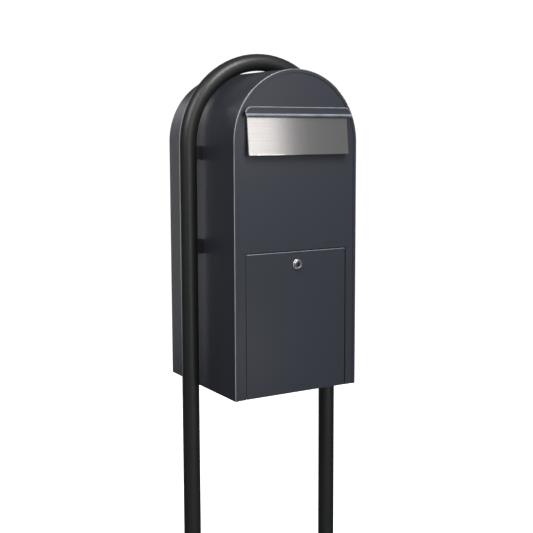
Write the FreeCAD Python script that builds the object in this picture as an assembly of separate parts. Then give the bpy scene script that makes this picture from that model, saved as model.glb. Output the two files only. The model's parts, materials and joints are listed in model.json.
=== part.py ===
import FreeCAD, Part
import math
import os

# Round-topped sheet-steel letter and parcel box held in an inverted-U tube stand.
# Millimetres. +Z is up, the front of the box faces -Y, and the origin is on the floor,
# in the middle of the four anchor holes, straight below the hoop.

V = FreeCAD.Vector
AXIS_X = V(1, 0, 0)
AXIS_Z = V(0, 0, 1)

# Box
BOX_WIDTH = 310.0
BOX_HEIGHT = 700.0
BOX_DEPTH = 310.0
HALF_WIDTH = BOX_WIDTH / 2
FLOOR_TO_BOX = 600.0
FRONT_Y = -157.0
BACK_Y = FRONT_Y + BOX_DEPTH
ARCH_Z = FLOOR_TO_BOX + BOX_HEIGHT - HALF_WIDTH
SHEET = 1.2
EDGE_RADIUS = 2.6
RIM_WIDTH = 8.0
PANEL_RECESS = 1.5
PANEL_Y = FRONT_Y + PANEL_RECESS
PANEL_BACK_Y = PANEL_Y + SHEET
LAP_Y = FRONT_Y + SHEET
LAP_BACK_Y = LAP_Y + SHEET
BACK_INSET = 4.0
BACK_FLANGE = 12.0
JOINT_GAP = 0.1
HOLE_PLAY = 0.05
OVERCUT = 5.0

# Stand
TUBE_RADIUS = 19.0
TUBE_WALL = 2.0
LEG_X = 182.5
HOOP_Z = FLOOR_TO_BOX + 540.0
FOOT_WIDTH = 80.0
FOOT_LENGTH = 240.0
FOOT_THICK = 8.0
FOOT_CORNER = 12.0
FOOT_CHAMFER = 1.0
ANCHOR_SPACING_Y = 180.0
ANCHOR_HOLE_R = 6.5
SPACER_HEIGHT = 29.0
SPACER_DEPTH = 32.0
SPACER_END_X = 170.0
SPACER_LEVELS = {"lower": FLOOR_TO_BOX + 317.0, "upper": FLOOR_TO_BOX + 522.0}
SCREW_R = 3.95
SCREW_HOLE_R = 4.5
SCREW_HEAD_R = 7.0
SCREW_HEAD_H = 4.4
SCREW_HEX_R = 2.9
SCREW_HEX_DEPTH = 2.6
SCREW_HEAD_ROUND = 2.0
SCREW_TIP_X = 176.0
WASHER_R = 12.0
WASHER_THICK = 1.6
INSERT_R = 5.5
INSERT_BORE_R = 4.0
INSERT_FLANGE_R = 7.5
INSERT_FLANGE = 1.2
INSERT_ROOM = 0.4
INSERT_X = 162.0
INSERT_END_X = 177.0

# Door in the lower half of the front, hinged along its bottom edge
DOOR_HALF = 126.7
DOOR_TOP = FLOOR_TO_BOX + 311.0
DOOR_BOTTOM = FLOOR_TO_BOX + 0.3
DOOR_GAP = 1.2
DOOR_TOP_GAP = 2.0
DOOR_FLANGE = 15.0
DOOR_EDGE_R = 1.9
DOOR_CORNER_PAST_HINGE = 2.4
DOOR_CORNER_RISE = 1.1
REBATE_Y = PANEL_Y + 17.2
REBATE_LIP = 10.9
HINGE_Y = PANEL_BACK_Y + 3.8
HINGE_Z = FLOOR_TO_BOX + 4.5
HINGE_PIN_R = 2.5
KNUCKLE_R = 3.8
DOOR_KNUCKLE_BORE = 2.58
BODY_KNUCKLE_BORE = 2.52
HINGE_LENGTH = 50.0
KNUCKLE_LENGTH = 14.0
KNUCKLE_GAP = 0.4
HINGE_X = 88.0
LEAF_HEIGHT = 24.0
WING_GAP = 1.0
FLOOR_Z = HINGE_Z + SHEET / 2
FLOOR_FRONT_Y = HINGE_Y + KNUCKLE_R + KNUCKLE_GAP
NOTCH_TOP = FLOOR_Z + SHEET + 0.7
LEAF_DEPTH = 16.0
TOE_FLANGE_SETBACK = 3.0
LEAF_CLEARANCE = 0.1
BUFFER_R = 3.6
BUFFER_X = 123.6
BUFFER_THICK = 2.0
BUFFER_LEVELS = (FLOOR_TO_BOX + 40.0, FLOOR_TO_BOX + 290.0)

# Cam lock at the top of the door
LOCK_Z = FLOOR_TO_BOX + 283.0
LOCK_FLANGE_R = 11.4
LOCK_FLANGE = 1.8
LOCK_HEAD_R = 9.2
LOCK_HEAD = 6.2
LOCK_RECESS_R = 7.6
LOCK_RECESS = 2.0
LOCK_EDGE_R = 0.8
LOCK_HEAD_CHAMFER = 0.7
PLUG_EDGE_R = 0.6
BARREL_R = 9.0
BARREL_END_Y = PANEL_Y + 20.4
PLUG_R = 6.0
PLUG_BORE_R = 6.06
PLUG_FACE_SET_BACK = 1.0
KEYWAY_WIDTH = 1.6
KEYWAY_HEIGHT = 8.4
KEYWAY_DEPTH = 9.0
CAM_Y = BARREL_END_Y + 0.2
CAM_THICK = 2.0
CAM_REACH = 38.0
CAM_WIDTH = 14.0
TAIL_HALF = 3.2
CAM_SCREW_R = 2.0
CAM_SCREW_HEAD_R = 4.6
CAM_SCREW_HEAD = 2.6
CAM_SCREW_GRIP = 9.0
CROSS_HALF = 2.6
CROSS_SLOT_HALF = 0.5
CROSS_DEPTH = 1.6
NUT_RADIUS = 13.0
NUT_THICK = 4.0
LOCK_PLATE_HALF = 30.0
LOCK_PLATE_THICK = 1.5
LOCK_PLATE_GAP = 2.0
KEEPER_HALF = 22.0
KEEPER_THICK = 1.5
KEEPER_BOTTOM = FLOOR_TO_BOX + 302.5
KEEPER_TOP = FLOOR_TO_BOX + 329.0
KEEPER_TAB_GAP = 0.4
KEEPER_TAB_PAST_CAM = 2.0

# Letter slot, its hanging flap and the hood over it
SLOT_HALF = 121.0
SLOT_BOTTOM = FLOOR_TO_BOX + 530.0
SLOT_TOP = FLOOR_TO_BOX + 609.0
SLOT_LIP = 6.0
FLAP_AXIS_Y = FRONT_Y - 0.4
FLAP_AXIS_Z = FLOOR_TO_BOX + 603.0
FLAP_TILT = 5.7
FLAP_HALF = 126.0
FLAP_SHEET = 1.0
FLAP_LENGTH = 85.6
FLAP_RIM = 4.0
FLAP_EDGE_R = 2.0
FLAP_FRONT_R = 1.8
FLAP_SHOULDER = 5.6
FLAP_ROLL_HALF = 115.0
ROLL_BORE_R = 2.08
ROLL_R = ROLL_BORE_R + FLAP_SHEET
ROD_R = 2.0
SLIP_FIT = 0.01
ROD_HALF = 120.6
EAR_X = 118.0
EAR_R = 4.0
EAR_HOLE_R = 2.05
EAR_FOOT_X = 127.0
EAR_FOOT_HALF = 12.0
EAR_STANDOFF = 0.5
CLIP_R = 2.8
CLIP_THICK = 0.8
CLIP_MOUTH_HALF = 1.4
BUMPER_X = 112.0
BUMPER_Z = FLOOR_TO_BOX + 523.0
BUMPER_REACH = 9.6
BUMPER_STEM_R = 2.4
BUMPER_BULB_R = 3.6
BUMPER_BULB = 2.0
BUMPER_ROOT_R = 4.2
BUMPER_TIP_R = 3.4
HOOD_HALF = 132.6
HOOD_TOP = FLOOR_TO_BOX + 619.5
HOOD_FACE_Y = FRONT_Y - 10.0
HOOD_CORNER = 15.0
HOOD_EDGE_R = 3.0
LIP_Y = FRONT_Y - 14.2
LIP_Z = FLOOR_TO_BOX + 600.0
LIP_BEAD_R = 1.8
LIP_ROOT_Z = FLOOR_TO_BOX + 607.0
LIP_BEND_OUT = 0.9
LIP_BEND_UP = 3.9
LIP_HEEL_OUT = 1.4
LIP_HEEL_DROP = 0.4
LIP_UNDER_IN = 0.8
LIP_UNDER_UP = 1.6
LIP_CORNER = 5.0

# Slide under the slot that carries the mail to the back
SLIDE_HALF = 152.4
SLIDE_FRONT_Z = FLOOR_TO_BOX + 505.0
SLIDE_BACK_Y = FRONT_Y + 105.0
SLIDE_BACK_Z = FLOOR_TO_BOX + 446.0
SLIDE_FLANGE = 12.0
SLIDE_UPSTAND = 12.0
SLIDE_TAIL = 15.0


def block(x0, x1, y0, y1, z0, z1):
    return Part.makeBox(x1 - x0, y1 - y0, z1 - z0, V(x0, y0, z0))


def rod(radius, start, end):
    return Part.makeCylinder(radius, (end - start).Length, start, end - start)


def prism_x(points, x0, x1):
    """A flat outline given as (y, z) corners, carried along X."""
    corners = [V(x0, y, z) for y, z in points]
    outline = Part.makePolygon(corners + corners[:1])
    return Part.Face(outline).extrude(V(x1 - x0, 0, 0))


def prism_y(points, y0, y1):
    """A flat outline given as (x, z) corners, carried along Y."""
    corners = [V(x, y0, z) for x, z in points]
    outline = Part.makePolygon(corners + corners[:1])
    return Part.Face(outline).extrude(V(0, y1 - y0, 0))


def arch_prism(half_width, bottom, y0, y1):
    """The box outline, straight sides under a half circle, carried along Y."""
    left_foot = V(-half_width, y0, bottom)
    left_spring = V(-half_width, y0, ARCH_Z)
    crown = V(0, y0, ARCH_Z + half_width)
    right_spring = V(half_width, y0, ARCH_Z)
    right_foot = V(half_width, y0, bottom)
    sides = [
        Part.LineSegment(left_foot, left_spring),
        Part.Arc(left_spring, crown, right_spring),
        Part.LineSegment(right_spring, right_foot),
        Part.LineSegment(right_foot, left_foot),
    ]
    outline = Part.Wire([side.toShape() for side in sides])
    return Part.Face(outline).extrude(V(0, y1 - y0, 0))


def arch_band(outer, inner, bottom, y0, y1):
    """The strip between two arch outlines, open at the bottom."""
    hole = arch_prism(inner, bottom - OVERCUT, y0 - OVERCUT, y1 + OVERCUT)
    return arch_prism(outer, bottom, y0, y1).cut(hole)


def join(pieces):
    return pieces[0].multiFuse(pieces[1:]).removeSplitter()


def edges_where(shape, test):
    """The edges whose every point, sampled at the ends and the middle, passes the test."""
    chosen = []
    for edge in shape.Edges:
        first, last = edge.ParameterRange
        samples = [edge.valueAt(first + (last - first) * part) for part in (0, 0.5, 1)]
        if all(test(point) for point in samples):
            chosen.append(edge)
    return chosen


def near(value, target):
    return abs(value - target) < 1e-3


def round_front(solid, front_y, bottom, radius):
    """Rounds the edges of the front face, apart from the one along its bottom."""
    front = edges_where(solid, lambda p: near(p.y, front_y))
    bottom_edges = edges_where(solid, lambda p: near(p.y, front_y) and near(p.z, bottom))
    kept = [edge for edge in front if not any(edge.isSame(other) for other in bottom_edges)]
    return solid.makeFillet(radius, kept)


def mirrored(shape):
    return shape.mirror(V(0, 0, 0), AXIS_X)


def both_sides(piece):
    return [mirrored(piece), piece]


def hoop_tube():
    """One steel tube bent to an inverted U, standing on the two foot plates."""
    def bent_rod(radius):
        path = Part.Wire([
            Part.LineSegment(V(-LEG_X, 0, FOOT_THICK), V(-LEG_X, 0, HOOP_Z)).toShape(),
            Part.Arc(V(-LEG_X, 0, HOOP_Z), V(0, 0, HOOP_Z + LEG_X), V(LEG_X, 0, HOOP_Z)).toShape(),
            Part.LineSegment(V(LEG_X, 0, HOOP_Z), V(LEG_X, 0, FOOT_THICK)).toShape(),
        ])
        section = Part.Wire([Part.Circle(V(-LEG_X, 0, FOOT_THICK), AXIS_Z, radius).toShape()])
        return path.makePipeShell([section], True, False)

    tube = bent_rod(TUBE_RADIUS).cut(bent_rod(TUBE_RADIUS - TUBE_WALL))
    for level in SPACER_LEVELS.values():
        start = V(LEG_X - TUBE_RADIUS - OVERCUT, 0, level)
        hole = rod(INSERT_R + HOLE_PLAY, start, V(LEG_X, 0, level))
        for side_hole in both_sides(hole):
            tube = tube.cut(side_hole)
    return tube


def foot_plate():
    """Right-hand foot: a rounded flat bar with an anchor hole at each end."""
    half_width = FOOT_WIDTH / 2
    half_length = FOOT_LENGTH / 2
    plate = block(LEG_X - half_width, LEG_X + half_width, -half_length, half_length, 0, FOOT_THICK)
    corners = [
        edge for edge in plate.Edges
        if near(edge.Vertexes[0].X, edge.Vertexes[1].X) and near(edge.Vertexes[0].Y, edge.Vertexes[1].Y)
    ]
    plate = plate.makeFillet(FOOT_CORNER, corners)
    top_edges = edges_where(plate, lambda p: near(p.z, FOOT_THICK))
    plate = plate.makeChamfer(FOOT_CHAMFER, top_edges)
    for y in (-ANCHOR_SPACING_Y / 2, ANCHOR_SPACING_Y / 2):
        hole = rod(ANCHOR_HOLE_R, V(LEG_X, y, -OVERCUT), V(LEG_X, y, FOOT_THICK + OVERCUT))
        plate = plate.cut(hole)
    return plate


def spacer(level):
    """Right-hand block between the side wall and the leg, hollowed to sit on the tube."""
    half_depth = SPACER_DEPTH / 2
    half_height = SPACER_HEIGHT / 2
    body = block(HALF_WIDTH, SPACER_END_X, -half_depth, half_depth, level - half_height, level + half_height)
    leg = rod(TUBE_RADIUS, V(LEG_X, 0, level - SPACER_HEIGHT), V(LEG_X, 0, level + SPACER_HEIGHT))
    screw_way = rod(SCREW_HOLE_R, V(HALF_WIDTH - OVERCUT, 0, level), V(LEG_X, 0, level))
    flange_room = rod(INSERT_FLANGE_R + INSERT_ROOM, V(INSERT_X - INSERT_ROOM, 0, level), V(LEG_X, 0, level))
    return body.cut(leg).cut(screw_way).cut(flange_room)


def stand_insert(level):
    """Threaded sleeve set in the tube wall."""
    sleeve = rod(INSERT_R, V(INSERT_X, 0, level), V(INSERT_END_X, 0, level))
    flange = rod(INSERT_FLANGE_R, V(INSERT_X, 0, level), V(INSERT_X + INSERT_FLANGE, 0, level))
    bore = rod(INSERT_BORE_R, V(INSERT_X - OVERCUT, 0, level), V(INSERT_END_X + OVERCUT, 0, level))
    return join([sleeve, flange]).cut(bore)


def stand_washer(level):
    inner_x = HALF_WIDTH - SHEET - WASHER_THICK
    disc = rod(WASHER_R, V(inner_x, 0, level), V(HALF_WIDTH - SHEET, 0, level))
    return disc.cut(rod(SCREW_HOLE_R, V(inner_x - OVERCUT, 0, level), V(HALF_WIDTH, 0, level)))


def stand_screw(level):
    """Button-head screw put in from inside the box."""
    seat_x = HALF_WIDTH - SHEET - WASHER_THICK
    shank = rod(SCREW_R, V(seat_x, 0, level), V(SCREW_TIP_X, 0, level))
    head = rod(SCREW_HEAD_R, V(seat_x - SCREW_HEAD_H, 0, level), V(seat_x, 0, level))
    rim = edges_where(head, lambda p: near(p.x, seat_x - SCREW_HEAD_H))
    head = head.makeFillet(SCREW_HEAD_ROUND, rim)
    crown_x = seat_x - SCREW_HEAD_H
    socket = hexagon_x(SCREW_HEX_R, crown_x - OVERCUT, crown_x + SCREW_HEX_DEPTH, level)
    return join([shank, head]).cut(socket)


def hexagon_x(radius, x0, x1, level):
    turns = [math.radians(60 * step) for step in range(6)]
    corners = [(radius * math.cos(turn), level + radius * math.sin(turn)) for turn in turns]
    return prism_x(corners, x0, x1)


def body_shell():
    """Wrapped sides and roof, with a narrow return round the front."""
    outer = arch_prism(HALF_WIDTH, FLOOR_TO_BOX, FRONT_Y, BACK_Y)
    outer = round_front(outer, FRONT_Y, FLOOR_TO_BOX, EDGE_RADIUS)
    low = FLOOR_TO_BOX - OVERCUT
    hollow = arch_prism(HALF_WIDTH - SHEET, low, FRONT_Y + SHEET, BACK_Y + OVERCUT)
    hollow = round_front(hollow, FRONT_Y + SHEET, low, EDGE_RADIUS - SHEET)
    mouth = arch_prism(HALF_WIDTH - RIM_WIDTH, low, FRONT_Y - OVERCUT, FRONT_Y + OVERCUT)
    shell = outer.cut(hollow).cut(mouth)
    for level in SPACER_LEVELS.values():
        start = V(-HALF_WIDTH - OVERCUT, 0, level)
        shell = shell.cut(rod(SCREW_HOLE_R, start, V(HALF_WIDTH + OVERCUT, 0, level)))
    return shell


def back_panel():
    """Arched back, set into the shell on a forward-turned flange."""
    fit = HALF_WIDTH - SHEET - JOINT_GAP
    sheet_y = BACK_Y - BACK_INSET
    plate = arch_prism(fit, FLOOR_TO_BOX, sheet_y, sheet_y + SHEET)
    flange = arch_band(fit, fit - SHEET, FLOOR_TO_BOX, sheet_y - BACK_FLANGE, sheet_y)
    return join([plate, flange])


def bottom_panel():
    """Floor of the box, with flanges turned down all round and room for the hinge leaves."""
    half = HALF_WIDTH - SHEET - JOINT_GAP
    back = BACK_Y - BACK_INSET - BACK_FLANGE - JOINT_GAP
    top = FLOOR_Z + SHEET
    toe_y = FLOOR_FRONT_Y + TOE_FLANGE_SETBACK
    plate = block(-half, half, FLOOR_FRONT_Y, back, FLOOR_Z, top)
    side = block(half - SHEET, half, FLOOR_FRONT_Y, back, FLOOR_TO_BOX, top)
    rear = block(-half, half, back - SHEET, back, FLOOR_TO_BOX, top)
    toe = block(-half, half, toe_y, toe_y + SHEET, FLOOR_TO_BOX, top)
    leaf_half = HINGE_LENGTH / 2 + LEAF_CLEARANCE
    leaf_room = block(HINGE_X - leaf_half, HINGE_X + leaf_half, FLOOR_FRONT_Y - OVERCUT,
                      FLOOR_FRONT_Y + LEAF_DEPTH, FLOOR_Z - SHEET - LEAF_CLEARANCE, FLOOR_Z)
    pan = join([plate, rear, toe] + both_sides(side))
    for room in both_sides(leaf_room):
        pan = pan.cut(room)
    return pan


def front_panel():
    """Front sheet: rim lapped behind the shell's return, letter slot, door opening and rebate."""
    skin_half = HALF_WIDTH - RIM_WIDTH - JOINT_GAP
    lap_half = HALF_WIDTH - EDGE_RADIUS - JOINT_GAP
    skin = arch_prism(skin_half, FLOOR_TO_BOX, PANEL_Y, PANEL_BACK_Y)
    lap = arch_band(lap_half, skin_half, FLOOR_TO_BOX, LAP_Y, LAP_BACK_Y)
    opening_half = DOOR_HALF + DOOR_GAP
    opening_top = DOOR_TOP + DOOR_TOP_GAP
    doorway = block(-opening_half, opening_half, PANEL_Y - OVERCUT, PANEL_Y + OVERCUT,
                    FLOOR_TO_BOX - OVERCUT, opening_top)
    slot = block(-SLOT_HALF, SLOT_HALF, PANEL_Y - OVERCUT, PANEL_Y + OVERCUT, SLOT_BOTTOM, SLOT_TOP)
    sheet = join([skin, lap]).cut(doorway).cut(slot)
    sheet = sheet.cut(bumper_holes())

    lip_back_y = REBATE_Y + SHEET
    jamb_x = opening_half + SHEET
    jamb_top = opening_top + SHEET
    jamb = block(opening_half, jamb_x, PANEL_Y, lip_back_y, NOTCH_TOP, jamb_top)
    jamb_foot = block(opening_half, jamb_x, PANEL_Y, FLOOR_FRONT_Y - KNUCKLE_GAP, FLOOR_TO_BOX, NOTCH_TOP)
    jamb_lip = block(opening_half - REBATE_LIP, jamb_x, REBATE_Y, lip_back_y, NOTCH_TOP, jamb_top)
    head = block(-jamb_x, jamb_x, PANEL_Y, lip_back_y, opening_top, jamb_top)
    head_lip = block(-jamb_x, jamb_x, REBATE_Y, lip_back_y, jamb_top - REBATE_LIP, jamb_top)
    slot_lip = block(-SLOT_HALF, SLOT_HALF, PANEL_Y, PANEL_Y + SLOT_LIP, SLOT_BOTTOM - SHEET, SLOT_BOTTOM)
    sides = both_sides(jamb) + both_sides(jamb_foot) + both_sides(jamb_lip)
    return join([sheet, head, head_lip, slot_lip] + sides)


def keeper():
    """Plate behind the head of the doorway, with a tab that stops the cam."""
    y = REBATE_Y + SHEET
    plate = block(-KEEPER_HALF, KEEPER_HALF, y, y + KEEPER_THICK, KEEPER_BOTTOM, KEEPER_TOP)
    tab_x = -CAM_WIDTH / 2 - KEEPER_TAB_GAP
    tab_back = CAM_Y + CAM_THICK + KEEPER_TAB_PAST_CAM
    tab = block(tab_x - KEEPER_THICK, tab_x, y, tab_back, DOOR_TOP + OVERCUT, KEEPER_TOP)
    return join([plate, tab])


def door_buffer(level):
    return rod(BUFFER_R, V(BUFFER_X, REBATE_Y - BUFFER_THICK, level), V(BUFFER_X, REBATE_Y, level))


def slot_hood():
    """Rounded canopy over the slot, ending below in an outward-flared drip lip."""
    def cap(shrink, back_y):
        half = HOOD_HALF - shrink
        top = HOOD_TOP - shrink
        face_y = HOOD_FACE_Y + shrink
        low = top - 2 * HOOD_CORNER
        body = block(-half, half, face_y, back_y, low, top)
        shoulders = [
            edge for edge in edges_where(body, lambda p: near(p.z, top))
            if near(abs(edge.Vertexes[0].X), half) and near(edge.Vertexes[0].X, edge.Vertexes[1].X)
        ]
        body = body.makeFillet(HOOD_CORNER - shrink, shoulders)
        return round_front(body, face_y, low, HOOD_EDGE_R - shrink)

    canopy = cap(0, PANEL_Y).cut(cap(SHEET, PANEL_Y + OVERCUT))
    below = block(-BOX_WIDTH, BOX_WIDTH, HOOD_FACE_Y - OVERCUT, PANEL_Y + OVERCUT, FLOOR_TO_BOX, LIP_ROOT_Z)
    return join([canopy.cut(below), drip_lip()])


def drip_lip():
    """Lip profile: a sheet that flares out from the canopy's face to a round bead."""
    start = V(0, HOOD_FACE_Y, LIP_ROOT_Z)
    bend = V(0, HOOD_FACE_Y - LIP_BEND_OUT, LIP_Z + LIP_BEND_UP)
    bead_top = V(0, LIP_Y, LIP_Z + LIP_BEAD_R)
    bead_front = V(0, LIP_Y - LIP_BEAD_R, LIP_Z)
    bead_low = V(0, LIP_Y, LIP_Z - LIP_BEAD_R)
    heel = V(0, HOOD_FACE_Y - LIP_HEEL_OUT, LIP_Z - LIP_HEEL_DROP)
    under = V(0, HOOD_FACE_Y + LIP_UNDER_IN, LIP_Z + LIP_UNDER_UP)
    inside = V(0, HOOD_FACE_Y + SHEET, LIP_ROOT_Z)
    sides = [
        Part.Arc(start, bend, bead_top),
        Part.Arc(bead_top, bead_front, bead_low),
        Part.LineSegment(bead_low, heel),
        Part.Arc(heel, under, inside),
        Part.LineSegment(inside, start),
    ]
    outline = Part.Wire([side.toShape() for side in sides])
    outline.translate(V(-HOOD_HALF, 0, 0))
    lip = Part.Face(outline).extrude(V(2 * HOOD_HALF, 0, 0))
    plan = block(-HOOD_HALF, HOOD_HALF, LIP_Y - LIP_BEAD_R, PANEL_Y, LIP_Z - OVERCUT, LIP_ROOT_Z)
    front_corners = [
        edge for edge in plan.Edges
        if near(edge.Vertexes[0].Y, LIP_Y - LIP_BEAD_R) and near(edge.Vertexes[1].Y, LIP_Y - LIP_BEAD_R)
        and near(edge.Vertexes[0].X, edge.Vertexes[1].X)
    ]
    return lip.common(plan.makeFillet(LIP_CORNER, front_corners))


def slot_flap():
    """Shallow stainless tray rolled round the rod, hanging with its foot tilted out."""
    front = -ROLL_R
    tray = block(-FLAP_HALF, FLAP_HALF, front, front + FLAP_RIM, -FLAP_LENGTH, -FLAP_SHOULDER)
    foot_corners = [
        edge for edge in edges_where(tray, lambda p: near(p.z, -FLAP_LENGTH))
        if near(edge.Vertexes[0].X, edge.Vertexes[1].X)
    ]
    tray = tray.makeFillet(FLAP_EDGE_R, foot_corners)
    front_edges = edges_where(tray, lambda p: near(p.y, front))
    top_edges = edges_where(tray, lambda p: near(p.y, front) and near(p.z, -FLAP_SHOULDER))
    kept = [edge for edge in front_edges if not any(edge.isSame(other) for other in top_edges)]
    tray = tray.makeFillet(FLAP_FRONT_R, kept)
    inside = FLAP_HALF - FLAP_SHEET
    pocket = block(-inside, inside, front + FLAP_SHEET, front + FLAP_RIM + OVERCUT,
                   -FLAP_LENGTH + FLAP_SHEET, OVERCUT)
    neck = block(-FLAP_ROLL_HALF, FLAP_ROLL_HALF, front, front + FLAP_SHEET, -FLAP_SHOULDER - 1, 0)
    roll = rod(ROLL_R, V(-FLAP_ROLL_HALF, 0, 0), V(FLAP_ROLL_HALF, 0, 0))
    bore = rod(ROLL_BORE_R, V(-FLAP_HALF, 0, 0), V(FLAP_HALF, 0, 0))
    flap = join([tray.cut(pocket), neck, roll]).cut(bore)
    flap.rotate(V(0, 0, 0), AXIS_X, -FLAP_TILT)
    flap.translate(V(0, FLAP_AXIS_Y, FLAP_AXIS_Z))
    return flap


def flap_rod():
    return rod(ROD_R, V(-ROD_HALF, FLAP_AXIS_Y, FLAP_AXIS_Z), V(ROD_HALF, FLAP_AXIS_Y, FLAP_AXIS_Z))


def flap_bracket():
    """Right-hand ear that carries the rod, on a foot welded behind the front sheet."""
    inner = V(EAR_X, FLAP_AXIS_Y, FLAP_AXIS_Z)
    outer = V(EAR_X + SHEET, FLAP_AXIS_Y, FLAP_AXIS_Z)
    foot_y = PANEL_BACK_Y + SHEET + EAR_STANDOFF
    eye = rod(EAR_R, inner, outer)
    arm = block(EAR_X, EAR_X + SHEET, FLAP_AXIS_Y, foot_y, FLAP_AXIS_Z - EAR_R, FLAP_AXIS_Z + EAR_R)
    low = FLAP_AXIS_Z - EAR_FOOT_HALF
    high = FLAP_AXIS_Z + EAR_FOOT_HALF
    foot = block(EAR_X, EAR_FOOT_X, foot_y - SHEET, foot_y, low, high)
    weld = block(SLOT_HALF + 2.0, EAR_FOOT_X, PANEL_BACK_Y, foot_y, low, high)
    hole = rod(EAR_HOLE_R, inner - V(OVERCUT, 0, 0), outer + V(OVERCUT, 0, 0))
    return join([eye, arm, foot, weld]).cut(hole)


def rod_clip():
    """Right-hand retaining clip on the end of the rod."""
    start = V(EAR_X + SHEET + 0.1, FLAP_AXIS_Y, FLAP_AXIS_Z)
    end = start + V(CLIP_THICK, 0, 0)
    mouth = block(start.x - OVERCUT, end.x + OVERCUT, FLAP_AXIS_Y - CLIP_MOUTH_HALF,
                  FLAP_AXIS_Y + CLIP_MOUTH_HALF, FLAP_AXIS_Z - CLIP_R - OVERCUT, FLAP_AXIS_Z)
    return rod(CLIP_R, start, end).cut(rod(ROD_R + SLIP_FIT, start, end)).cut(mouth)


def flap_bumper():
    """Right-hand rubber post that holds the foot of the flap off the front sheet."""
    root = V(BUMPER_X, PANEL_Y, BUMPER_Z)
    shoulder = V(BUMPER_X, PANEL_BACK_Y, BUMPER_Z)
    tail = V(BUMPER_X, PANEL_BACK_Y + BUMPER_BULB, BUMPER_Z)
    stem = rod(BUMPER_STEM_R, root, tail)
    bulb = rod(BUMPER_BULB_R, shoulder, tail)
    post = Part.makeCone(BUMPER_ROOT_R, BUMPER_TIP_R, BUMPER_REACH + PANEL_RECESS, root, V(0, -1, 0))
    return join([post, stem, bulb])


def bumper_holes():
    start = V(BUMPER_X, PANEL_Y - OVERCUT, BUMPER_Z)
    hole = rod(BUMPER_STEM_R + HOLE_PLAY, start, start + V(0, 2 * OVERCUT, 0))
    return Part.makeCompound(both_sides(hole))


def mail_slide():
    """Sloping plate that carries the mail back and keeps hands out of the box."""
    front_y = max(LAP_BACK_Y, PANEL_BACK_Y)
    drop = SLIDE_FRONT_Z - SLIDE_BACK_Z
    run = SLIDE_BACK_Y - front_y
    thick = SHEET * math.hypot(run, drop) / run
    profile = [
        (front_y, SLIDE_FRONT_Z + SLIDE_UPSTAND),
        (front_y, SLIDE_FRONT_Z - thick),
        (SLIDE_BACK_Y, SLIDE_BACK_Z - thick),
        (SLIDE_BACK_Y, SLIDE_BACK_Z - SLIDE_TAIL),
        (SLIDE_BACK_Y + SHEET, SLIDE_BACK_Z - SLIDE_TAIL),
        (SLIDE_BACK_Y + SHEET, SLIDE_BACK_Z),
        (front_y + SHEET, SLIDE_FRONT_Z),
        (front_y + SHEET, SLIDE_FRONT_Z + SLIDE_UPSTAND),
    ]
    flange = [
        (front_y, SLIDE_FRONT_Z - thick),
        (front_y, SLIDE_FRONT_Z - SLIDE_FLANGE),
        (SLIDE_BACK_Y, SLIDE_BACK_Z - SLIDE_FLANGE),
        (SLIDE_BACK_Y, SLIDE_BACK_Z - thick),
    ]
    plate = prism_x(profile, -SLIDE_HALF, SLIDE_HALF)
    side = prism_x(flange, SLIDE_HALF - SHEET, SLIDE_HALF)
    return join([plate] + both_sides(side))


def door_panel():
    """Drop-down door: a flanged pan, open along the bottom where it is hinged.

    Its side flanges stop short above the floor, so that their corners swing clear of it."""
    back_y = PANEL_Y + DOOR_FLANGE
    pan = block(-DOOR_HALF, DOOR_HALF, PANEL_Y, back_y, DOOR_BOTTOM, DOOR_TOP)
    pan = round_front(pan, PANEL_Y, DOOR_BOTTOM, DOOR_EDGE_R)
    inside = DOOR_HALF - SHEET
    low = DOOR_BOTTOM - OVERCUT
    pocket = block(-inside, inside, PANEL_BACK_Y, back_y + OVERCUT, low, DOOR_TOP - SHEET)
    pocket = round_front(pocket, PANEL_BACK_Y, low, DOOR_EDGE_R - SHEET)
    corner_y = HINGE_Y + DOOR_CORNER_PAST_HINGE
    corner_low = DOOR_BOTTOM + DOOR_CORNER_RISE
    floor_notch = block(-DOOR_HALF - 1, DOOR_HALF + 1, corner_y, back_y + 1, low, NOTCH_TOP)
    foot_notch = block(-DOOR_HALF - 1, DOOR_HALF + 1, PANEL_BACK_Y, back_y + 1, low, corner_low)
    lock_hole = rod(BARREL_R + JOINT_GAP, V(0, PANEL_Y - OVERCUT, LOCK_Z), V(0, PANEL_Y + OVERCUT, LOCK_Z))
    return pan.cut(pocket).cut(floor_notch).cut(foot_notch).cut(lock_hole)


def lock_plate():
    """Reinforcing plate welded behind the door skin round the lock."""
    y0 = PANEL_BACK_Y
    plate = block(-LOCK_PLATE_HALF, LOCK_PLATE_HALF, y0, y0 + LOCK_PLATE_THICK,
                  LOCK_Z - LOCK_PLATE_HALF, DOOR_TOP - SHEET - LOCK_PLATE_GAP)
    return plate.cut(rod(BARREL_R + JOINT_GAP, V(0, y0 - 1, LOCK_Z), V(0, y0 + OVERCUT, LOCK_Z)))


def knuckle(x0, x1, bore):
    ring = rod(KNUCKLE_R, V(x0, HINGE_Y, HINGE_Z), V(x1, HINGE_Y, HINGE_Z))
    hole = rod(bore, V(x0 - 1, HINGE_Y, HINGE_Z), V(x1 + 1, HINGE_Y, HINGE_Z))
    return ring, hole


def hinge_door_leaf(middle_x):
    """Leaf welded up the inside of the door skin, with the middle knuckle."""
    half = HINGE_LENGTH / 2 - KNUCKLE_LENGTH - KNUCKLE_GAP
    ring, hole = knuckle(middle_x - half, middle_x + half, DOOR_KNUCKLE_BORE)
    y0 = PANEL_BACK_Y
    y1 = PANEL_BACK_Y + SHEET
    top = HINGE_Z + LEAF_HEIGHT
    wing_half = HINGE_LENGTH / 2
    wing_low = HINGE_Z + KNUCKLE_R + WING_GAP
    neck = block(middle_x - half, middle_x + half, y0, y1, HINGE_Z, top)
    wing = block(middle_x - wing_half, middle_x + wing_half, y0, y1, wing_low, top)
    return join([ring, neck, wing]).cut(hole)


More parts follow.
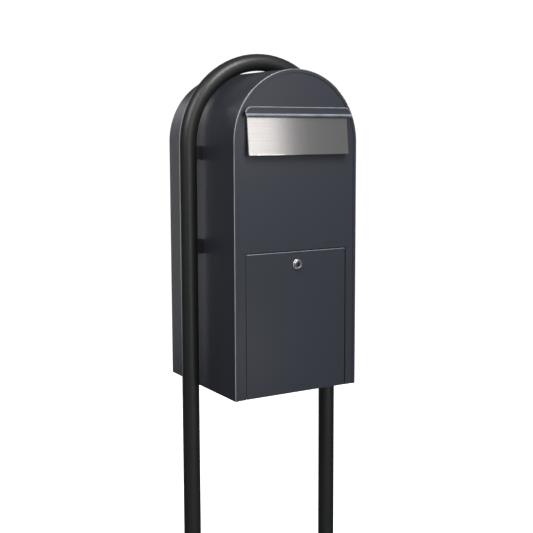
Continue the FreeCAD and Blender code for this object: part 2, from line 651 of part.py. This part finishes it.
def hinge_body_leaf(middle_x):
    """Leaf welded under the floor of the box, with the two outer knuckles."""
    leaf_back = FLOOR_FRONT_Y + LEAF_DEPTH
    half = HINGE_LENGTH / 2
    inner_half = half - KNUCKLE_LENGTH
    z0 = HINGE_Z - SHEET / 2
    z1 = HINGE_Z + SHEET / 2
    plate = block(middle_x - half, middle_x + half, HINGE_Y + KNUCKLE_R + KNUCKLE_GAP, leaf_back, z0, z1)
    pieces = [plate]
    holes = []
    for x0, x1 in ((-half, -inner_half), (inner_half, half)):
        ring, hole = knuckle(middle_x + x0, middle_x + x1, BODY_KNUCKLE_BORE)
        neck = block(middle_x + x0, middle_x + x1, HINGE_Y, leaf_back, z0, z1)
        pieces += [ring, neck]
        holes.append(hole)
    leaf = join(pieces)
    for hole in holes:
        leaf = leaf.cut(hole)
    return leaf


def hinge_pin(middle_x):
    half = HINGE_LENGTH / 2
    return rod(HINGE_PIN_R, V(middle_x - half, HINGE_Y, HINGE_Z), V(middle_x + half, HINGE_Y, HINGE_Z))


def on_lock_axis(radius, y0, y1):
    return rod(radius, V(0, y0, LOCK_Z), V(0, y1, LOCK_Z))


def lock_housing():
    """Chromed head and threaded barrel of the cam lock."""
    head_y = PANEL_Y - LOCK_HEAD
    flange = on_lock_axis(LOCK_FLANGE_R, PANEL_Y - LOCK_FLANGE, PANEL_Y)
    flange = flange.makeFillet(LOCK_EDGE_R, edges_where(flange, lambda p: near(p.y, PANEL_Y - LOCK_FLANGE)))
    head = on_lock_axis(LOCK_HEAD_R, head_y, PANEL_Y)
    head = head.makeChamfer(LOCK_HEAD_CHAMFER, edges_where(head, lambda p: near(p.y, head_y)))
    barrel = on_lock_axis(BARREL_R, PANEL_Y, BARREL_END_Y)
    recess = on_lock_axis(LOCK_RECESS_R, head_y - OVERCUT, head_y + LOCK_RECESS)
    bore = on_lock_axis(PLUG_BORE_R, head_y - OVERCUT, BARREL_END_Y + OVERCUT)
    return join([flange, head, barrel]).cut(recess).cut(bore)


def lock_plug():
    """Turning core with its keyway and a square tail for the cam."""
    face_y = PANEL_Y - LOCK_HEAD + PLUG_FACE_SET_BACK
    core = on_lock_axis(PLUG_R, face_y, BARREL_END_Y)
    core = core.makeFillet(PLUG_EDGE_R, edges_where(core, lambda p: near(p.y, face_y)))
    cam_back_y = CAM_Y + CAM_THICK
    tail = block(-TAIL_HALF, TAIL_HALF, BARREL_END_Y, cam_back_y, LOCK_Z - TAIL_HALF, LOCK_Z + TAIL_HALF)
    keyway = block(-KEYWAY_WIDTH / 2, KEYWAY_WIDTH / 2, face_y - 1, face_y + KEYWAY_DEPTH,
                   LOCK_Z - KEYWAY_HEIGHT / 2, LOCK_Z + KEYWAY_HEIGHT / 2)
    screw_hole = on_lock_axis(CAM_SCREW_R, cam_back_y - CAM_SCREW_GRIP - 1.0, cam_back_y + 1.0)
    return join([core, tail]).cut(keyway).cut(screw_hole)


def lock_nut():
    """Hexagon nut that clamps the lock in the door."""
    y0 = PANEL_BACK_Y + LOCK_PLATE_THICK
    turns = [math.radians(60 * step + 30) for step in range(6)]
    corners = [(NUT_RADIUS * math.cos(turn), LOCK_Z + NUT_RADIUS * math.sin(turn)) for turn in turns]
    nut = prism_y(corners, y0, y0 + NUT_THICK)
    return nut.cut(on_lock_axis(BARREL_R, y0 - 1, y0 + NUT_THICK + 1))


def lock_cam():
    """Locking lever, resting sideways with the door free to open."""
    y1 = CAM_Y + CAM_THICK
    half = CAM_WIDTH / 2
    hub = on_lock_axis(half, CAM_Y, y1)
    arm = block(0, CAM_REACH - half, CAM_Y, y1, LOCK_Z - half, LOCK_Z + half)
    tip = rod(half, V(CAM_REACH - half, CAM_Y, LOCK_Z), V(CAM_REACH - half, y1, LOCK_Z))
    eye = block(-TAIL_HALF, TAIL_HALF, CAM_Y - 1, y1 + 1, LOCK_Z - TAIL_HALF, LOCK_Z + TAIL_HALF)
    return join([hub, arm, tip]).cut(eye)


def cam_screw():
    seat_y = CAM_Y + CAM_THICK
    shank = on_lock_axis(CAM_SCREW_R - 2 * SLIP_FIT, seat_y - CAM_SCREW_GRIP, seat_y)
    head = on_lock_axis(CAM_SCREW_HEAD_R, seat_y, seat_y + CAM_SCREW_HEAD)
    crown_y = seat_y + CAM_SCREW_HEAD
    head = head.makeFillet(LOCK_EDGE_R, edges_where(head, lambda p: near(p.y, crown_y)))
    screw = join([shank, head])
    for half_x, half_z in ((CROSS_HALF, CROSS_SLOT_HALF), (CROSS_SLOT_HALF, CROSS_HALF)):
        slot = block(-half_x, half_x, crown_y - CROSS_DEPTH, crown_y + OVERCUT,
                     LOCK_Z - half_z, LOCK_Z + half_z)
        screw = screw.cut(slot)
    return screw


def group(pieces):
    return Part.makeCompound(pieces)


def per_level(make):
    """The same fastener at both levels and on both sides, as separate solids in one node."""
    pieces = []
    for level in SPACER_LEVELS.values():
        pieces += both_sides(make(level))
    return group(pieces)


def all_nodes():
    right_foot = foot_plate()
    right_bracket = flap_bracket()
    nodes = {
        "hoop_tube": hoop_tube(),
        "foot_plate_left": mirrored(right_foot),
        "foot_plate_right": right_foot,
        "stand_screws": per_level(stand_screw),
        "stand_washers": per_level(stand_washer),
        "stand_inserts": per_level(stand_insert),
        "body_shell": body_shell(),
        "back_panel": back_panel(),
        "bottom_panel": bottom_panel(),
        "front_panel": front_panel(),
        "lock_keeper": keeper(),
        "door_buffers": group([buffer for z in BUFFER_LEVELS for buffer in both_sides(door_buffer(z))]),
        "slot_hood": slot_hood(),
        "slot_flap": slot_flap(),
        "flap_rod": flap_rod(),
        "flap_bracket_left": mirrored(right_bracket),
        "flap_bracket_right": right_bracket,
        "rod_clips": group(both_sides(rod_clip())),
        "flap_bumpers": group(both_sides(flap_bumper())),
        "mail_slide": mail_slide(),
        "door_panel": door_panel(),
        "lock_plate": lock_plate(),
        "lock_housing": lock_housing(),
        "lock_nut": lock_nut(),
        "lock_plug": lock_plug(),
        "lock_cam": lock_cam(),
        "cam_screw": cam_screw(),
    }
    for name, level in SPACER_LEVELS.items():
        block_shape = spacer(level)
        nodes["spacer_left_" + name] = mirrored(block_shape)
        nodes["spacer_right_" + name] = block_shape
    for side, middle_x in (("left", -HINGE_X), ("right", HINGE_X)):
        nodes["hinge_door_leaf_" + side] = hinge_door_leaf(middle_x)
        nodes["hinge_body_leaf_" + side] = hinge_body_leaf(middle_x)
        nodes["hinge_pin_" + side] = hinge_pin(middle_x)
    return nodes


os.makedirs("parts", exist_ok=True)
for node, shape in all_nodes().items():
    shape.exportStep("parts/" + node + ".step")
    print(node, "valid", shape.isValid(), "solids", len(shape.Solids), "cm3", round(shape.Volume / 1000, 2))
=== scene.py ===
import json
import math

import bmesh
import bpy
from mathutils import Matrix, Vector


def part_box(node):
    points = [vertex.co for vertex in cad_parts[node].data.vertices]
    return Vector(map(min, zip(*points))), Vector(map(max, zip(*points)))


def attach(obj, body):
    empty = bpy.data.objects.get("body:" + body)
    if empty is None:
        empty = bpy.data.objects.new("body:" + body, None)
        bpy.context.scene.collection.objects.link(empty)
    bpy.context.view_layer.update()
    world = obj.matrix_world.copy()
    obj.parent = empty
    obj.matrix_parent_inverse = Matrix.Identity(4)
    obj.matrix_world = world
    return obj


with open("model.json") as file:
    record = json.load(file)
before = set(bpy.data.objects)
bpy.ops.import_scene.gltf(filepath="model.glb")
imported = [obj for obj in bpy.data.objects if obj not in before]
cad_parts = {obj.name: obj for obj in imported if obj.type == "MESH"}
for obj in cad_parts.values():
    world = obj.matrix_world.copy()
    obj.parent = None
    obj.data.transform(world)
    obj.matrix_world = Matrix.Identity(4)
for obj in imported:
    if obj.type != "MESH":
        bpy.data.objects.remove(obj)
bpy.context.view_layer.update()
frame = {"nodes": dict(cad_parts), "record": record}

NODES = frame["nodes"]
MM = 0.001


# ---------------------------------------------------------------- node materials

class Shader:
    """One node material: a Principled surface and the procedural nodes that feed it."""

    def __init__(self, name, constants):
        self.material = bpy.data.materials.new(name)
        self.material.use_nodes = True
        tree = self.material.node_tree
        self.nodes = tree.nodes
        self.links = tree.links
        self.surface = self.nodes["Principled BSDF"]
        for socket, value in constants.items():
            self.surface.inputs[socket].default_value = value
        self.coordinates = self.nodes.new("ShaderNodeTexCoord")
        self.place = self.coordinates.outputs["Object"]

    def feed(self, socket, source):
        self.links.new(source, self.surface.inputs[socket])

    def stretched(self, scale):
        mapping = self.nodes.new("ShaderNodeMapping")
        mapping.inputs["Scale"].default_value = scale
        self.links.new(self.place, mapping.inputs["Vector"])
        return mapping.outputs["Vector"]

    def noise(self, scale, detail=2.0, roughness=0.5, stretch=None):
        node = self.nodes.new("ShaderNodeTexNoise")
        node.inputs["Scale"].default_value = scale
        node.inputs["Detail"].default_value = detail
        node.inputs["Roughness"].default_value = roughness
        vector = self.stretched(stretch) if stretch else self.place
        self.links.new(vector, node.inputs["Vector"])
        return node.outputs["Fac"]

    def cells(self, scale, output="Distance"):
        node = self.nodes.new("ShaderNodeTexVoronoi")
        node.inputs["Scale"].default_value = scale
        self.links.new(self.place, node.inputs["Vector"])
        return node.outputs[output]

    def spread(self, source, low, high, start=0.0, end=1.0):
        """The source's start..end range carried to low..high."""
        node = self.nodes.new("ShaderNodeMapRange")
        node.inputs["From Min"].default_value = start
        node.inputs["From Max"].default_value = end
        node.inputs["To Min"].default_value = low
        node.inputs["To Max"].default_value = high
        self.links.new(source, node.inputs["Value"])
        return node.outputs["Result"]

    def math(self, operation, first, second):
        node = self.nodes.new("ShaderNodeMath")
        node.operation = operation
        for socket, value in zip(node.inputs, (first, second)):
            if isinstance(value, (int, float)):
                socket.default_value = value
            else:
                self.links.new(value, socket)
        return node.outputs["Value"]

    def mix(self, factor, first, second):
        node = self.nodes.new("ShaderNodeMix")
        node.data_type = "RGBA"
        self.links.new(factor, node.inputs["Factor"])
        for name, value in (("A", first), ("B", second)):
            socket = next(s for s in node.inputs if s.name == name and s.type == "RGBA")
            if isinstance(value, tuple):
                socket.default_value = (*value, 1.0)
            else:
                self.links.new(value, socket)
        return next(s for s in node.outputs if s.type == "RGBA")

    def bump(self, height, distance, strength, under=None):
        node = self.nodes.new("ShaderNodeBump")
        node.inputs["Distance"].default_value = distance
        node.inputs["Strength"].default_value = strength
        self.links.new(height, node.inputs["Height"])
        if under:
            self.links.new(under, node.inputs["Normal"])
        return node.outputs["Normal"]

    def edge_highlight_mask(self, vertical_share):
        """Mask for a painted highlight: 1 halfway round a front fillet and 0 on every flat, from the
        part's own normal, fuller where the edge faces up towards the light.

        vertical_share is how much of it the upright edges keep, which have no Z in their normal."""
        split = self.nodes.new("ShaderNodeSeparateXYZ")
        self.links.new(self.coordinates.outputs["Normal"], split.inputs["Vector"])
        sharpness = 2.5
        full_rise = 0.35
        forward = self.math("POWER", split.outputs["Y"], 2.0)
        sideways = self.math("SUBTRACT", 1.0, forward)
        bend = self.math("MULTIPLY", self.math("MULTIPLY", forward, sideways), 4.0)
        bend = self.math("POWER", bend, sharpness)
        upward = self.math("MAXIMUM", split.outputs["Z"], 0.0)
        kept = self.spread(upward, vertical_share, 1.0, 0.0, full_rise)
        return self.math("MULTIPLY", bend, kept)


EDGE_HIGHLIGHT_TONE = (0.33, 0.35, 0.40)      # painted highlight colour for the rounded edges, pale where they would catch the light


def body_paint(name, vertical_share):
    """Anthracite powder coat: satin, with a fine orange-peel skin, and a painted highlight in a pale
    colour along its rounded edges, strongest where they face up.
    """
    shader = Shader(name, {
        "Specular IOR Level": 0.45, "Coat Weight": 0.22, "Coat Roughness": 0.20, "Coat IOR": 1.5,
    })
    clouds = shader.noise(4.0, 3.0)
    tone = shader.mix(clouds, (0.0222, 0.0278, 0.0366), (0.0282, 0.0280, 0.0386))
    grain = shader.noise(1500.0, 2.0)
    tone = shader.mix(shader.spread(grain, 0.0, 0.30, 0.55, 0.80), tone, (0.042, 0.047, 0.064))
    # painted highlight: the pale edge colour, broken up by noise, laid on the rounded edges
    painted_highlight = shader.math("MULTIPLY", shader.edge_highlight_mask(vertical_share),
                         shader.spread(shader.noise(35.0, 4.0), 0.65, 1.0, 0.3, 0.6))
    tone = shader.mix(painted_highlight, tone, EDGE_HIGHLIGHT_TONE)
    shader.feed("Base Color", tone)
    shader.feed("Roughness", shader.spread(shader.noise(22.0, 3.0), 0.36, 0.44))
    peel = shader.bump(shader.noise(420.0, 1.0), 0.05 * MM, 0.35)
    shader.feed("Normal", shader.bump(grain, 0.02 * MM, 0.35, peel))
    return shader.material


def tube_paint():
    """Black powder coat on the stand, a little rougher than the box."""
    shader = Shader("tube_paint", {"Specular IOR Level": 0.5, "Coat Weight": 0.1, "Coat Roughness": 0.3})
    clouds = shader.noise(9.0, 3.0)
    tone = shader.mix(clouds, (0.0085, 0.0085, 0.0083), (0.0120, 0.0120, 0.0117))
    grain = shader.noise(1300.0, 2.0)
    tone = shader.mix(shader.spread(grain, 0.0, 0.35, 0.55, 0.80), tone, (0.035, 0.035, 0.034))
    scuffs = shader.noise(18.0, 5.0, 0.7, stretch=(6.0, 6.0, 1.0))
    tone = shader.mix(shader.spread(scuffs, 0.0, 0.12, 0.62, 0.80), tone, (0.040, 0.040, 0.038))
    shader.feed("Base Color", tone)
    shader.feed("Roughness", shader.spread(shader.noise(30.0, 3.0), 0.38, 0.45))
    peel = shader.bump(shader.noise(380.0, 1.0), 0.06 * MM, 0.4)
    shader.feed("Normal", shader.bump(grain, 0.03 * MM, 0.4, peel))
    return shader.material


def spacer_plastic():
    """Moulded black plastic with a spark-eroded grain."""
    shader = Shader("spacer_plastic", {"Specular IOR Level": 0.25})
    grain = shader.cells(1800.0)
    tone = shader.mix(grain, (0.0050, 0.0050, 0.0050), (0.0110, 0.0110, 0.0106))
    shader.feed("Base Color", tone)
    shader.feed("Roughness", shader.spread(shader.noise(70.0), 0.48, 0.60))
    shader.feed("Normal", shader.bump(grain, 0.04 * MM, 0.5))
    return shader.material


def flap_steel():
    """Stainless sheet brushed along its length."""
    shader = Shader("flap_steel", {"Metallic": 1.0, "Anisotropic": 0.9})
    lines = shader.noise(1.0, 3.0, 0.6, stretch=(9.0, 2400.0, 2400.0))
    streaks = shader.noise(1.0, 2.0, 0.5, stretch=(3.0, 700.0, 700.0))
    tone = shader.mix(lines, (0.585, 0.552, 0.535), (0.660, 0.624, 0.606))
    tone = shader.mix(shader.spread(streaks, 0.0, 0.25), tone, (0.540, 0.509, 0.494))
    shader.feed("Base Color", tone)
    shader.feed("Roughness", shader.spread(streaks, 0.17, 0.23))
    shader.feed("Normal", shader.bump(lines, 0.002 * MM, 0.12))
    tangent = shader.nodes.new("ShaderNodeTangent")
    tangent.direction_type = "RADIAL"
    tangent.axis = "X"
    shader.feed("Tangent", tangent.outputs["Tangent"])
    return shader.material


def zinc_steel():
    """Bright zinc plating on the hinges, screws and rod, slightly mottled."""
    shader = Shader("zinc_steel", {"Metallic": 1.0})
    mottle = shader.cells(420.0, "Color")
    cloud = shader.noise(160.0, 4.0, 0.6)
    tone = shader.mix(cloud, (0.46, 0.47, 0.49), (0.62, 0.63, 0.65))
    shader.feed("Base Color", tone)
    shader.feed("Roughness", shader.spread(shader.noise(90.0, 3.0), 0.26, 0.42))
    shader.feed("Normal", shader.bump(mottle, 0.01 * MM, 0.3))
    return shader.material


def lock_chrome():
    """Polished chrome with faint key scratches."""
    shader = Shader("lock_chrome", {"Metallic": 1.0})
    hairs = shader.noise(1.0, 3.0, 0.6, stretch=(900.0, 200.0, 2600.0))
    tone = shader.mix(hairs, (0.74, 0.75, 0.76), (0.84, 0.85, 0.86))
    shader.feed("Base Color", tone)
    shader.feed("Roughness", shader.spread(hairs, 0.08, 0.20))
    shader.feed("Normal", shader.bump(hairs, 0.004 * MM, 0.4))
    return shader.material


def plug_steel_painted_shade():
    """Machined face of the lock's core, turned in fine rings, in a very dark tone that paints the shade
    of its recess.
    """
    shader = Shader("plug_steel_painted_shade", {"Metallic": 1.0})
    rings = shader.noise(1.0, 3.0, 0.6, stretch=(2200.0, 300.0, 2200.0))
    # painted shade: the very dark base colour stands for the shade inside the recessed core
    shader.feed("Base Color", shader.mix(rings, (0.07, 0.07, 0.075), (0.14, 0.14, 0.145)))
    shader.feed("Roughness", shader.spread(rings, 0.30, 0.45))
    shader.feed("Normal", shader.bump(rings, 0.01 * MM, 0.3))
    return shader.material


def rubber_black():
    """Matt black rubber on the door's pads and the flap's posts."""
    shader = Shader("rubber_black", {"Specular IOR Level": 0.35})
    grain = shader.noise(900.0, 3.0)
    shader.feed("Base Color", shader.mix(grain, (0.008, 0.008, 0.008), (0.020, 0.020, 0.019)))
    shader.feed("Roughness", shader.spread(grain, 0.62, 0.80))
    shader.feed("Normal", shader.bump(grain, 0.05 * MM, 0.5))
    return shader.material


def finishes():
    """Every finish, by the name of its material slot or of its own."""
    return {
        "body_paint": body_paint("body_paint", 0.0),
        # shell_paint: body_paint whose painted edge highlight also runs along the upright edges
        "shell_paint": body_paint("shell_paint", 1.0),
        "tube_paint": tube_paint(),
        "spacer_plastic": spacer_plastic(),
        "flap_steel": flap_steel(),
        "zinc_steel": zinc_steel(),
        "lock_chrome": lock_chrome(),
        "plug_steel_painted_shade": plug_steel_painted_shade(),
        "rubber_black": rubber_black(),
    }


# Nodes whose finish isn't the plain one of their material slot.
# the lock plug gets a very dark metal that paints the shade in its recess
# the shell and hood get the painted edge highlight on their upright edges too
OWN_FINISH = {"body_shell": "shell_paint", "slot_hood": "shell_paint", "lock_plug": "plug_steel_painted_shade"}


def finish_nodes(made):
    """Gives every CAD node the finish of its material slot, or its own one where it has it."""
    for subpart in frame["record"]["subparts"]:
        name = subpart["node"]
        finish = OWN_FINISH.get(name, subpart["material_slot"])
        mesh = NODES[name].data
        mesh.materials.clear()
        mesh.materials.append(made[finish])


# ---------------------------------------------------------------- pieces made here

RING_POINTS = 24


def piece(name, shape, body, material):
    """Turns a finished bmesh into a smooth-shaded object that rides on a CAD body."""
    bmesh.ops.recalc_face_normals(shape, faces=shape.faces)
    for face in shape.faces:
        face.smooth = True
    mesh = bpy.data.meshes.new(name)
    shape.to_mesh(mesh)
    shape.free()
    mesh.materials.append(material)
    made = bpy.data.objects.new(name, mesh)
    bpy.context.scene.collection.objects.link(made)
    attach(made, body)


def ring(shape, centre, axis, radius):
    """A ring of vertices round a centre, square to the X or the Y axis."""
    points = []
    for i in range(RING_POINTS):
        turn = 2 * math.pi * i / RING_POINTS
        across = radius * math.cos(turn)
        up = radius * math.sin(turn)
        offset = (0.0, across, up) if axis == "X" else (across, 0.0, up)
        points.append(shape.verts.new([c + o for c, o in zip(centre, offset)]))
    return points


def join_rings(shape, rings, closed):
    """Quads between neighbouring rings, and from the last one to the first where closed."""
    pairs = len(rings) if closed else len(rings) - 1
    for i in range(pairs):
        here = rings[i]
        after = rings[(i + 1) % len(rings)]
        for j in range(len(here)):
            k = (j + 1) % len(here)
            shape.faces.new((here[j], after[j], after[k], here[k]))


def capped_rings(shape, rings):
    """A closed skin over a row of rings, with a flat face on each end."""
    join_rings(shape, rings, False)
    shape.faces.new(rings[0])
    shape.faces.new(rings[-1])


def weld_bead(name, centre, radius, size, material):
    """A rippled fillet weld round a tube that stands on a plate."""
    steps = 240
    ripples = 40
    spans = 8
    ripple_lag = 1.08
    crown = 0.22
    ripple_height = 0.10
    diagonal = 0.7
    sunk = 0.3 * MM
    root = (radius - 0.6 * MM, -0.4 * MM)
    shape = bmesh.new()
    rings = []
    for i in range(steps):
        turn = 2 * math.pi * i / steps
        section = []
        for j in range(spans + 1):
            across = j / spans
            arch = math.sin(math.pi * across)
            ripple = 0.5 + 0.5 * math.cos(ripples * turn + ripple_lag * arch)
            swell = diagonal * arch * size * (crown + ripple_height * ripple)
            out = radius - sunk + size * across + swell
            up = size * (1 - across) - sunk + swell
            section.append((out, up))
        section.append(root)
        rings.append([shape.verts.new((centre.x + out * math.cos(turn), centre.y + out * math.sin(turn),
                                       centre.z + up)) for out, up in section])
    join_rings(shape, rings, True)
    piece(name, shape, "mailbox", material)


def foot_welds(material):
    """A weld round each leg, on top of its foot plate."""
    size = 5.0 * MM
    tube_low, tube_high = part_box("hoop_tube")
    radius = (tube_high[1] - tube_low[1]) / 2
    plate_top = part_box("foot_plate_right")[1][2]
    leg_x = tube_high[0] - radius
    for side, x in (("left", -leg_x), ("right", leg_x)):
        weld_bead("foot_weld_" + side, Vector((x, 0.0, plate_top)), radius, size, material)


def barrel_thread(material):
    """The thread on the lock barrel behind its nut, which fades out over its first and last turn."""
    radius = 9.0 * MM
    depth = 0.4 * MM
    sunk = 0.1 * MM
    pitch = 1.25 * MM
    crest_start = 0.40
    crest_end = 0.55
    foot_end = 0.95
    nut_gap = 0.2 * MM
    end_gap = 0.6 * MM
    per_turn = 48
    low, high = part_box("lock_housing")
    centre_x = (low[0] + high[0]) / 2
    centre_z = (low[2] + high[2]) / 2
    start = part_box("lock_nut")[1][1] + nut_gap
    length = high[1] - start - end_gap
    steps = int(per_turn * (length - pitch) / pitch)
    shape = bmesh.new()
    sections = []
    for i in range(steps + 1):
        turn = 2 * math.pi * i / per_turn
        along = start + pitch * i / per_turn
        rise = depth * min(1.0, i / per_turn, (steps - i) / per_turn)
        section = []
        for offset, height in ((0.0, -sunk), (crest_start, rise), (crest_end, rise), (foot_end, -sunk)):
            reach = radius + height
            section.append(shape.verts.new((centre_x + reach * math.cos(turn), along + pitch * offset,
                                            centre_z + reach * math.sin(turn))))
        sections.append(section)
    capped_rings(shape, sections)
    piece("lock_thread", shape, "door", material)


def dome(shape, centre, radius, height):
    """A shallow spot-weld mark whose crown points to +Y."""
    sunk = 0.05 * MM
    count = 5
    rings = []
    for i in range(1, count + 1):
        share = i / count
        along = height * (1 - share ** 2) - sunk
        rings.append(ring(shape, (centre[0], centre[1] + along, centre[2]), "Y", radius * share))
    capped_rings(shape, rings)


def door_spot_welds(material):
    """Spot-weld marks on the lock plate and the door's hinge leaves."""
    inset = 7.0 * MM
    radius = 2.6 * MM
    height = 0.3 * MM
    skin_and_leaf = 2.4 * MM
    plate_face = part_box("lock_plate")[1][1]
    leaf_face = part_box("door_panel")[0][1] + skin_and_leaf
    shape = bmesh.new()
    for name, face_y, low_share, high_share in (("lock_plate", plate_face, 0.14, 0.86),
                                                ("hinge_door_leaf_left", leaf_face, 0.55, 0.82),
                                                ("hinge_door_leaf_right", leaf_face, 0.55, 0.82)):
        low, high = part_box(name)
        for x in (low[0] + inset, high[0] - inset):
            for share in (low_share, high_share):
                dome(shape, (x, face_y, low[2] + (high[2] - low[2]) * share), radius, height)
    piece("door_spot_welds", shape, "door", material)


def flap_hem(material):
    """The rolled bead along the foot of the flap, with softened ends."""
    radius = 0.8 * MM
    end_gap = 2.0 * MM
    end_length = 0.4 * MM
    end_share = 0.5
    low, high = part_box("slot_flap")
    half = (high[0] - low[0]) / 2 - end_gap
    inner = half - end_length
    centre_y = low[1] + 0.6 * MM
    centre_z = low[2] + 1.3 * MM
    shape = bmesh.new()
    rings = []
    for x, share in ((-half, end_share), (-inner, 1.0), (inner, 1.0), (half, end_share)):
        rings.append(ring(shape, (x, centre_y, centre_z), "X", share * radius))
    capped_rings(shape, rings)
    piece("flap_hem", shape, "flap", material)


# ---------------------------------------------------------------- stage, light and camera

def aimed(location, target):
    """Rotation that points an object's -Z from location to target, with +Y up."""
    return (Vector(target) - Vector(location)).to_track_quat("-Z", "Y").to_euler()


def pale_floor():
    """White floor that glows less close round the feet, so that they cast a soft shadow there."""
    half_side = 30.0
    near_glow = 0.45
    near_reach = 0.25
    full_reach = 0.50
    mesh = bpy.data.meshes.new("floor")
    shape = bmesh.new()
    bmesh.ops.create_grid(shape, x_segments=4, y_segments=4, size=half_side)
    shape.to_mesh(mesh)
    shape.free()
    floor = bpy.data.objects.new("floor", mesh)
    bpy.context.scene.collection.objects.link(floor)
    shader = Shader("floor_pale", {"Roughness": 0.9, "Specular IOR Level": 0.2})
    tone = shader.mix(shader.noise(3.0), (0.86, 0.86, 0.86), (0.88, 0.88, 0.88))
    shader.feed("Base Color", tone)
    shader.feed("Emission Color", tone)
    reach = shader.nodes.new("ShaderNodeVectorMath")
    reach.operation = "LENGTH"
    shader.links.new(shader.place, reach.inputs[0])
    glow = shader.spread(reach.outputs["Value"], near_glow, 1.0, near_reach, full_reach)
    shader.feed("Emission Strength", glow)
    mesh.materials.append(shader.material)
    floor.visible_glossy = False
    floor.visible_diffuse = False


def studio_world():
    """White behind the object, and a dim room that is a little brighter in front and above."""
    world = bpy.data.worlds.new("studio")
    world.use_nodes = True
    nodes = world.node_tree.nodes
    links = world.node_tree.links
    direction = nodes.new("ShaderNodeTexCoord").outputs["Generated"]
    ahead = nodes.new("ShaderNodeVectorMath")
    ahead.operation = "DOT_PRODUCT"
    ahead.inputs[1].default_value = Vector((-0.25, -0.60, 0.76)).normalized()
    links.new(direction, ahead.inputs[0])
    glow = nodes.new("ShaderNodeMapRange")
    glow.inputs["From Min"].default_value = -0.3
    glow.inputs["To Min"].default_value = 0.08
    glow.inputs["To Max"].default_value = 0.36
    links.new(ahead.outputs["Value"], glow.inputs["Value"])
    room = nodes["Background"]
    room.inputs["Color"].default_value = (0.90, 0.95, 1.0, 1.0)
    links.new(glow.outputs["Result"], room.inputs["Strength"])
    backdrop = nodes.new("ShaderNodeBackground")
    backdrop.inputs["Color"].default_value = (1.0, 1.0, 1.0, 1.0)
    backdrop.inputs["Strength"].default_value = 1.05
    rays = nodes.new("ShaderNodeLightPath")
    chosen = nodes.new("ShaderNodeMixShader")
    links.new(rays.outputs["Is Camera Ray"], chosen.inputs["Fac"])
    links.new(room.outputs["Background"], chosen.inputs[1])
    links.new(backdrop.outputs["Background"], chosen.inputs[2])
    links.new(chosen.outputs["Shader"], nodes["World Output"].inputs["Surface"])
    bpy.context.scene.world = world


def softbox(name, azimuth, elevation, distance, target, width, height, radiance):
    """An area light that the target sees at that azimuth: 0 is in front, 90 to the right."""
    turn = math.radians(azimuth)
    rise = math.radians(elevation)
    away = Vector((math.sin(turn) * math.cos(rise), -math.cos(turn) * math.cos(rise), math.sin(rise)))
    lamp = bpy.data.lights.new(name, "AREA")
    lamp.shape = "RECTANGLE"
    lamp.size = width
    lamp.size_y = height
    lamp.energy = radiance * math.pi * width * height
    holder = bpy.data.objects.new(name, lamp)
    holder.location = Vector(target) + away * distance
    holder.rotation_euler = aimed(holder.location, target)
    holder.visible_camera = False
    bpy.context.scene.collection.objects.link(holder)


def studio_lights():
    """Softboxes all round: name, azimuth, elevation, distance, target, width, height, radiance."""
    box_middle_height = 0.95
    flap_low, flap_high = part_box("slot_flap")
    flap = (Vector(flap_low) + Vector(flap_high)) / 2
    top = Vector((0.0, 0.0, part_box("hoop_tube")[1][2]))
    middle = Vector((0.0, 0.0, box_middle_height))
    softbox("key_light", 6.0, 43.0, 2.6, top, 1.15, 1.15, 15.5)
    softbox("front_right_light", 17.5, 9.0, 2.6, flap, 1.25, 1.1, 1.6)
    softbox("front_left_light", -14.0, 6.0, 2.8, middle, 0.35, 2.0, 4.5)
    softbox("left_light", -62.0, 30.0, 2.4, top, 1.2, 1.2, 7.0)
    softbox("right_back_light", 122.0, 5.0, 2.4, middle, 0.8, 2.2, 2.0)
    softbox("left_back_light", -168.0, 5.0, 2.4, middle, 0.8, 2.2, 1.6)
    softbox("low_front_light", 8.0, -25.0, 2.2, flap, 1.6, 0.32, 1.3)
    softbox("back_light", 176.0, 4.0, 2.6, middle, 1.2, 1.4, 1.3)


def photo_camera():
    """The view from the front left, a little above the middle of the box."""
    azimuth = math.radians(-30.33)
    distance = 2.226
    height = 1.163
    turn = math.radians(30.67)
    tilt = math.radians(-6.35)
    roll = math.radians(-0.2)
    lens = bpy.data.cameras.new("camera")
    lens.sensor_width = 36.0
    lens.lens = 65.94
    lens.shift_y = -0.045
    lens.clip_start = 0.05
    lens.clip_end = 100.0
    camera = bpy.data.objects.new("camera", lens)
    camera.location = (distance * math.sin(azimuth), -distance * math.cos(azimuth), height)
    upright = Matrix.Rotation(-turn, 4, "Z") @ Matrix.Rotation(math.pi / 2 + tilt, 4, "X")
    camera.rotation_euler = (upright @ Matrix.Rotation(roll, 4, "Z")).to_euler()
    bpy.context.scene.collection.objects.link(camera)
    bpy.context.scene.camera = camera


FINISH = finishes()
finish_nodes(FINISH)
foot_welds(FINISH["tube_paint"])
barrel_thread(FINISH["lock_chrome"])
door_spot_welds(FINISH["body_paint"])
flap_hem(FINISH["flap_steel"])
pale_floor()
studio_world()
studio_lights()
photo_camera()
bpy.context.scene.view_settings.view_transform = "Standard"
